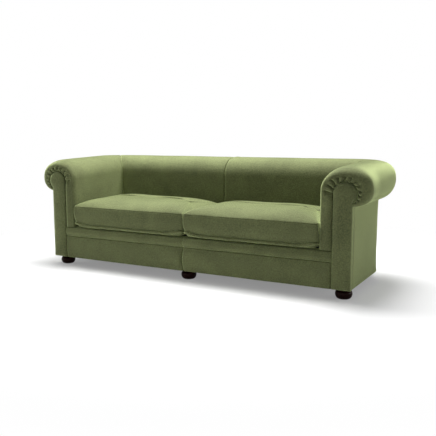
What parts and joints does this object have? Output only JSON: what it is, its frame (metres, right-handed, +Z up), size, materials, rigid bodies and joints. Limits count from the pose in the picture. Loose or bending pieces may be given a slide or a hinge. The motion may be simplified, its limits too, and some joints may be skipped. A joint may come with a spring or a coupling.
{
  "type": "roll arm sofa",
  "caption": "Long sofa with rolled arms and a rolled back of one height, pleated scroll arm fronts, loose boxed seat cushions, plain green velvet and turned bun feet.",
  "frame": {"origin": "on the floor, under the middle of the sofa's outer box", "axes": "+X to the right of someone facing the sofa, +Y from its front to its rear, +Z up"},
  "size_m": [2.29, 0.85, 0.742],
  "materials": {
    "velvet": "short-pile green velvet",
    "timber": "planed, unfinished",
    "plywood": "sawn, unfinished",
    "stained_wood": "dark stain, satin lacquer",
    "steel": "bright drawn steel",
    "lining": "matt black lining cloth"
  },
  "bodies": {
    "frame": {"front_rail": "timber", "rear_rail": "timber", "centre_rail": "timber", "left_base_rail": "timber", "right_base_rail": "timber", "left_tuck_rail": "timber", "right_tuck_rail": "timber", "left_arm_front_board": "plywood", "right_arm_front_board": "plywood", "left_rear_corner_post": "plywood", "right_rear_corner_post": "plywood", "left_front_foot_block": "timber", "right_front_foot_block": "timber", "left_rear_foot_block": "timber", "right_rear_foot_block": "timber", "left_arm_top_rail": "timber", "right_arm_top_rail": "timber", "back_top_rail": "timber", "back_tuck_rail": "timber", "back_centre_upright": "timber", "left_front_foot": "stained_wood", "centre_front_foot": "stained_wood", "right_front_foot": "stained_wood", "left_rear_foot": "stained_wood", "centre_rear_foot": "stained_wood", "right_rear_foot": "stained_wood", "left_front_foot_bolt": "steel", "centre_front_foot_bolt": "steel", "right_front_foot_bolt": "steel", "left_rear_foot_bolt": "steel", "centre_rear_foot_bolt": "steel", "right_rear_foot_bolt": "steel", "front_spring_clip_strip": "steel", "rear_spring_clip_strip": "steel", "seat_spring_1": "steel", "seat_spring_2": "steel", "seat_spring_3": "steel", "seat_spring_4": "steel", "seat_spring_5": "steel", "seat_spring_6": "steel", "seat_spring_7": "steel", "seat_spring_8": "steel", "seat_deck": "lining", "left_arm_cover": "velvet", "right_arm_cover": "velvet", "left_outside_arm_panel": "velvet", "right_outside_arm_panel": "velvet", "left_facing": "velvet", "right_facing": "velvet", "left_pleated_border": "velvet", "right_pleated_border": "velvet", "back_cover": "velvet", "outside_back_panel": "velvet", "front_lip": "velvet", "lower_front_panel": "velvet", "dust_cover": "lining"},
    "left_cushion": {"left_seat_cushion": "velvet"},
    "right_cushion": {"right_seat_cushion": "velvet"},
    "left_zip": {"left_cushion_zip_slider": "steel"},
    "right_zip": {"right_cushion_zip_slider": "steel"}
  },
  "joints": [
    {"name": "left_cushion_lift", "type": "slide", "parent": "frame", "child": "left_cushion", "axis": [0, 0, 1], "range_m": [0, 0.5]},
    {"name": "right_cushion_lift", "type": "slide", "parent": "frame", "child": "right_cushion", "axis": [0, 0, 1], "range_m": [0, 0.5]},
    {"name": "left_zip_slide", "type": "slide", "parent": "left_cushion", "child": "left_zip", "axis": [1, 0, 0], "range_m": [0, 0.6]},
    {"name": "right_zip_slide", "type": "slide", "parent": "right_cushion", "child": "right_zip", "axis": [1, 0, 0], "range_m": [0, 0.6]}
  ]
}
